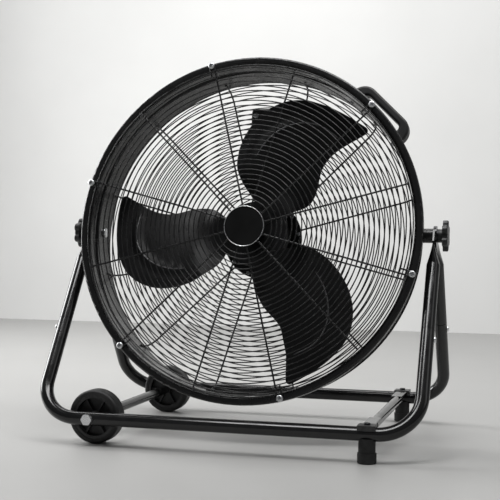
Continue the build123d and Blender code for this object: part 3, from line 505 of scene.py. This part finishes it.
SLOT_MATERIALS = {
    "stand_paint": stand_paint,
    "drum_paint": drum_paint,
    "wire_paint": wire_paint,
    "blade_paint": blade_paint,
    "motor_paint": motor_paint,
    "black_plastic": black_plastic,
    "badge_plastic": badge_plastic,
    "switch_plastic": pale_plastic,
    "foot_rubber": foot_rubber,
    "tyre_rubber": tyre_rubber,
    "zinc_steel": zinc,
    "bright_steel": ground_steel,
    "core_steel": core_steel,
    "winding_copper": copper,
}
NODE_MATERIALS = {
    "left_clamp_knob": knob_plastic,
    "right_clamp_knob": knob_plastic,
    "speed_knob": knob_plastic,
    "clamp_washers": black_zinc,
}
for entry in frame["record"]["subparts"]:
    obj = nodes[entry["node"]]
    material = NODE_MATERIALS.get(entry["node"], SLOT_MATERIALS[entry["material_slot"]])
    obj.data.materials.clear()
    obj.data.materials.append(material)
    smooth(obj.data, SOLID_SMOOTH_ANGLE)


# Wire guards, in round wire
def add_ring(shape, radius, level, sides):
    shape.add(*tube(circle(radius, level), RING_WIRE / 2, sides, True), DRUM)


def plain_spoke(inner, outer, level):
    return [(inner, 0, level), (outer, 0, level)]


def hairpin_spoke(inner, screw_radius, level):
    """Spoke that goes round its screw and comes back beside itself."""
    path = [(inner, -HAIRPIN_HALF, level), (screw_radius - HAIRPIN_HALF, -HAIRPIN_HALF, level)]
    path += [(x, y, level) for x, y in arc(screw_radius, 0, HAIRPIN_HALF, -90, 90, 12)]
    path += [(screw_radius - HAIRPIN_LENGTH, HAIRPIN_HALF, level)]
    return path


front = Shape()
ring_radii = [FRONT_FIRST_RING + RING_PITCH * k for k in range(FRONT_RING_COUNT)] + RIM_RINGS
for radius in ring_radii:
    add_ring(front, radius, FRONT_RING_LEVEL, FRONT_RING_SIDES)
hub_inner = HUB_PLATE_RADIUS - 2 * SPOKE_WIRE
for angle in PLAIN_ANGLES:
    spoke = plain_spoke(hub_inner, ring_radii[-1], SPOKE_LEVEL)
    front.add(*tube(spoke, SPOKE_WIRE / 2, FRONT_SPOKE_SIDES), DRUM @ turn(angle))
for angle in SCREW_ANGLES:
    spoke = hairpin_spoke(hub_inner, FRONT_SCREW_RADIUS, SPOKE_LEVEL)
    front.add(*tube(spoke, SPOKE_WIRE / 2, FRONT_SPOKE_SIDES), DRUM @ turn(angle))
hub_face = FRONT_RING_LEVEL + RING_WIRE / 2
front.add(*flat_ring(HUB_PLATE_HOLE, HUB_PLATE_RADIUS, hub_face - RING_WIRE, hub_face), DRUM)
front_guard = front.piece("front_wire_guard", "drum", wire_paint)
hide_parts("front_grille")


def basket_level(radius):
    """Level of the basket's spokes at a radius."""
    return BASKET_START + BASKET_SLOPE * (radius - PLATE_RADIUS)


rear = Shape()
rear_radii = [REAR_FIRST_RING + RING_PITCH * k for k in range(REAR_RING_COUNT)]
for radius in rear_radii:
    add_ring(rear, radius, basket_level(radius) - RING_STEP, REAR_RING_SIDES)
bend_turn = 90 - math.degrees(math.atan(BASKET_SLOPE))
bend_height = BASKET_LEVEL + BASKET_BEND * math.tan(math.radians(bend_turn / 2))
swing = BASKET_BEND + RING_STEP
for angle in BEND_RING_TURNS:
    out = swing * math.cos(math.radians(angle))
    back = swing * math.sin(math.radians(angle))
    add_ring(rear, BASKET_WALL - BASKET_BEND + out, bend_height - back, REAR_RING_SIDES)
basket_spoke = [(BASKET_INNER, 0, basket_level(BASKET_INNER))]
spoke_bend = arc(BASKET_WALL - BASKET_BEND, bend_height, BASKET_BEND, -bend_turn, 0, 10)
basket_spoke += [(r, 0, z) for r, z in spoke_bend]
basket_spoke.append((BASKET_WALL, 0, BASKET_REACH))
for angle in SPOKE_ANGLES:
    rear.add(*tube(basket_spoke, SPOKE_WIRE / 2, REAR_SPOKE_SIDES), DRUM @ turn(angle))
rear.add(*flat_ring(MOTOR_HOLE, PLATE_RADIUS, RING_PLATE_BACK, RING_PLATE_BACK + PLATE_THICKNESS), DRUM)
rear_guard = rear.piece("rear_wire_guard", "drum", wire_paint)
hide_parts("rear_grille")

# Bright ring pressed round the badge
trim = Shape()
trim_path = circle(BADGE_RADIUS - TRIM_WIRE, BADGE_TOP - TRIM_WIRE / 2, TRIM_SEGMENTS)
trim.add(*tube(trim_path, TRIM_WIRE, TRIM_SIDES, True), DRUM)
trim.piece("badge_trim", "drum", zinc)


# Crease along the crest of the pressed ridge of each blade, in a lighter paint that stands for its
# painted highlight
def crease_path(node, first_turn):
    """Points on the face of a blade along its ridge, sunk at both ends."""
    path = []
    blade = nodes[node]
    inward = blade.matrix_world.inverted()
    down = (inward.to_3x3() @ DRUM.to_3x3() @ Vector((0, 0, -1))).normalized()
    for k in range(CREASE_POINTS):
        share = k / (CREASE_POINTS - 1)
        angle = CREASE_START + (CREASE_END - CREASE_START) * share
        crest = RIDGE_RADIUS - RIDGE_CURL * max(0, angle - RIDGE_BOW) ** 2
        above = DRUM @ turn(first_turn + angle) @ Vector((crest, 0, ABOVE_BLADES))
        hit, point = blade.ray_cast(inward @ above, down)[:2]
        if hit:
            sink = max(0, 1 - CREASE_FADE * min(share, 1 - share)) * CREASE_SINK
            path.append(blade.matrix_world @ point + blade.matrix_world.to_3x3() @ down * sink)
    return path


for k in range(BLADE_COUNT):
    crease = Shape()
    path = crease_path(f"blade_{k + 1}", BLADE_FIRST + BLADE_STEP * k)
    crease.add(*tube(path, CREASE_RADIUS, CREASE_SIDES))
    crease.piece(f"blade_crease_{k + 1}", "impeller", crease_highlight_paint)


# Pan-head screws with a cross recess
def weld_axis(mesh):
    """Join the points that a turned profile leaves on its axis."""
    cleaner = bmesh.new()
    cleaner.from_mesh(mesh)
    bmesh.ops.remove_doubles(cleaner, verts=cleaner.verts, dist=SAME_POINT)
    bmesh.ops.recalc_face_normals(cleaner, faces=cleaner.faces)
    cleaner.to_mesh(mesh)
    cleaner.free()


def loose_object(name, shape):
    """Object for the cut alone, taken out again after it."""
    mesh = shape.mesh(name)
    weld_axis(mesh)
    return linked(name, mesh)


def block(half_x, half_y, low, high):
    corners = [(-half_x, -half_y), (half_x, -half_y), (half_x, half_y), (-half_x, half_y)]
    points = [(x, y, z) for z in (low, high) for x, y in corners]
    faces = [[3, 2, 1, 0], [4, 5, 6, 7], [0, 1, 5, 4], [1, 2, 6, 5], [2, 3, 7, 6], [3, 0, 4, 7]]
    return points, faces


def pan_screws(node, body, places, head, height, shank, length, material=zinc, slot="zinc_steel"):
    """Screws that replace a node: the seat of each is at zero and its head is above."""
    round_off = height * HEAD_ROUNDING
    profile = [(0, -length), (shank * TIP_RADIUS, -length), (shank, -length + shank * TIP_LENGTH)]
    profile += [(shank, 0), (head, 0)]
    profile += arc(head - round_off, height - round_off, round_off, 0, 75, 6)
    profile += [(head * HEAD_FLAT, height), (0, height)]
    bar = block(head * CROSS_HALF_LENGTH, head * CROSS_HALF_WIDTH, height * CROSS_FLOOR, height * 2)
    solid, cutter = Shape(), Shape()
    for index, place in enumerate(places):
        solid.add(*lathe(profile, HEAD_SEGMENTS, False), place)
        for quarter in (0, 90):
            cutter.add(*bar, place @ turn(CROSS_TURN * index) @ turn(quarter))
    base = loose_object(node + "_body", solid)
    tool = loose_object(node + "_tool", cutter)
    recess = base.modifiers.new("recess", "BOOLEAN")
    recess.object = tool
    recess.operation = "DIFFERENCE"
    recess.solver = "EXACT"
    recess.use_self = True
    result = base.evaluated_get(bpy.context.evaluated_depsgraph_get())
    mesh = bpy.data.meshes.new_from_object(result)
    mesh.name = node + "_recessed"
    for spare in (base, tool):
        bpy.data.objects.remove(spare, do_unlink=True)
    mesh.materials.clear()
    mesh.materials.append(material)
    smooth(mesh, SCREW_SMOOTH_ANGLE)
    obj = linked(node + "_recessed", mesh)
    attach(obj, body)
    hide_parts(node)


def leg_screw_place(side, hand):
    lean = math.degrees(math.atan2(RAIL_SPREAD, PIVOT_HEIGHT - RAIL_HEIGHT))
    half_leg = math.hypot(RAIL_SPREAD, PIVOT_HEIGHT - RAIL_HEIGHT) / 2
    leg = shift(hand * LEG_PLANE, 0, PIVOT_HEIGHT) @ turn(side * lean, "X")
    out = hand * (TUBE_RADIUS + SEAT_GAP)
    return leg @ shift(out, 0, -half_leg - LEG_SCREW_DROP) @ turn(hand * 90, "Y")


def handle_screw_place(side):
    swing = math.degrees(math.asin(HANDLE_SCREW_HALF / DRUM_RADIUS))
    wall = DRUM @ turn(HANDLE_ANGLE + side * swing) @ shift(DRUM_RADIUS, 0, HANDLE_PLACE)
    return wall @ turn(90, "Y") @ shift(0, 0, -2 * SEAT_GAP) @ turn(180, "X")


def box_screw_place(across, ring_gap):
    """Seat on the switch plate, half way between two rings of the basket."""
    radius = PLATE_RADIUS + RING_PITCH * (ring_gap + 0.5)
    up = math.sqrt(radius**2 - (BOX_MIDDLE + across) ** 2)
    forward = BASKET_SLOPE * (radius - up)
    level = basket_level(BOX_CENTRE) - RING_STEP - RING_WIRE / 2 - 2 * SEAT_GAP
    lean = turn(math.degrees(math.atan(BASKET_SLOPE)), "X")
    plane = DRUM @ shift(BOX_MIDDLE, BOX_CENTRE, level) @ lean
    return plane @ shift(across, up - BOX_CENTRE, RING_WIRE + 5 * SEAT_GAP + forward)


rim_seats = [DRUM @ turn(a) @ shift(FRONT_SCREW_RADIUS, 0, RIM_SCREW_SEAT) for a in SCREW_ANGLES]
plate_seat = shift(PLATE_SCREW_RADIUS, 0, PLATE_FRONT + SEAT_GAP)
plate_turns = [turn(PLATE_SCREW_FIRST + PLATE_SCREW_STEP * k) for k in range(PLATE_SCREW_COUNT)]
plate_seats = [DRUM @ plate_turn @ plate_seat for plate_turn in plate_turns]
saddle_seats = [shift(FOOT_PLACE, side * RAIL_SPREAD, SADDLE_SEAT) for side in BOTH_SIDES]
box_seats = [box_screw_place(across, gap) for across in BOX_SCREW_SIDES for gap in BOX_SCREW_GAPS]
leg_seats = [leg_screw_place(side, hand) for side in BOTH_SIDES for hand in BOTH_SIDES]
handle_seats = [handle_screw_place(side) for side in BOTH_SIDES]
# Sizes in the order head radius, head height, shank radius and length
pan_screws("front_grille_screws", "drum", rim_seats, 6.5 * MM, 4 * MM, 2.5 * MM, 14 * MM)
pan_screws("motor_plate_screws", "drum", plate_seats, 4.2 * MM, 3 * MM, 2 * MM, 8 * MM)
saddle_screw = (6 * MM, 3.5 * MM, 3 * MM, 53.5 * MM)
pan_screws("saddle_screws", "stand", saddle_seats, *saddle_screw, black_zinc, "stand_paint")
pan_screws("leg_screws", "stand", leg_seats, 5.5 * MM, 3.5 * MM, 3 * MM, 8 * MM)
pan_screws("handle_screws", "drum", handle_seats, 5 * MM, 3.2 * MM, 2.5 * MM, 16 * MM)
pan_screws("switch_housing_screws", "drum", box_seats, 5.5 * MM, 2.4 * MM, 1.75 * MM, 16.7 * MM)


# Floor, backdrop, light and camera
def stage_material(name, colour, rough):
    material, tree, shader, vector = new_material(name)
    patch = noise(tree, vector, 1.6, detail=5.0)
    base = mix(tree, span(tree, patch, 0.0, 1.0), colour, tuple(c * 0.93 for c in colour))
    tree.links.new(base, shader.inputs["Base Color"])
    shader.inputs["Roughness"].default_value = rough
    return material


def stage_sheet(name, points, material):
    mesh = bpy.data.meshes.new(name)
    mesh.from_pydata(points, [], [[0, 1, 2, 3]])
    mesh.materials.append(material)
    obj = linked(name, mesh)


floor_material = stage_material("pale_floor", (0.36, 0.358, 0.35), 0.45)
wall_material = stage_material("pale_wall", (0.66, 0.66, 0.65), 0.9)
floor_corners = [(-STAGE_HALF, -STAGE_HALF, 0), (STAGE_HALF, -STAGE_HALF, 0)]
floor_corners += [(STAGE_HALF, STAGE_HALF, 0), (-STAGE_HALF, STAGE_HALF, 0)]
wall_corners = [(-STAGE_HALF, WALL_PLACE, 0), (STAGE_HALF, WALL_PLACE, 0)]
wall_corners += [(STAGE_HALF, WALL_PLACE, WALL_HEIGHT), (-STAGE_HALF, WALL_PLACE, WALL_HEIGHT)]
stage_sheet("floor", floor_corners, floor_material)
stage_sheet("wall", wall_corners, wall_material)


def area_light(name, place, target, size, power):
    data = bpy.data.lights.new(name, "AREA")
    data.shape = "RECTANGLE"
    data.size, data.size_y = size
    data.energy = power
    obj = linked(name, data)
    obj.location = place
    obj.rotation_euler = (Vector(target) - Vector(place)).to_track_quat("-Z", "Y").to_euler()


# Place and target in metres, width and height in metres, power in watts
area_light("window_light", (-2.5, 0.5, 1.5), (0, 0, 0.4), (1.1, 2.4), 95)
area_light("ceiling_light", (0.3, -0.7, 2.7), (0, 0, 0.3), (2.6, 0.7), 60)
area_light("wall_light", (-0.7, 0.9, 2.9), (-0.6, 2.6, 0.9), (3.0, 0.6), 55)
area_light("side_light", (2.6, -0.3, 1.6), (0, 0, 0.4), (0.9, 1.8), 4)

scene = bpy.context.scene
world = bpy.data.worlds.new("studio")
world.use_nodes = True
background = world.node_tree.nodes["Background"]
background.inputs["Color"].default_value = (0.92, 0.93, 0.95, 1)
background.inputs["Strength"].default_value = 0.16
scene.world = world
scene.view_settings.view_transform = "Standard"

# Camera fitted to the photograph
CAMERA_PLACE = Vector((0.57805, -2.1640, 0.39188))
YAW, PITCH, ROLL = (math.radians(a) for a in (15.236, -0.607, 0.577))
FOCAL_PIXELS = 1110.24
IMAGE_PIXELS = 500
SENSOR_WIDTH = 36.0
ahead = Vector((-math.sin(YAW) * math.cos(PITCH), math.cos(YAW) * math.cos(PITCH), math.sin(PITCH)))
right = Vector((math.cos(YAW), math.sin(YAW), 0))
up = right.cross(ahead)
rolled_right = right * math.cos(ROLL) + up * math.sin(ROLL)
rolled_up = up * math.cos(ROLL) - right * math.sin(ROLL)
camera_data = bpy.data.cameras.new("photo_camera")
camera_data.sensor_width = SENSOR_WIDTH
camera_data.lens = SENSOR_WIDTH * FOCAL_PIXELS / IMAGE_PIXELS
camera = linked("photo_camera", camera_data)
axes = Matrix((rolled_right, rolled_up, -ahead)).transposed()
camera.matrix_world = Matrix.Translation(CAMERA_PLACE) @ axes.to_4x4()
scene.camera = camera
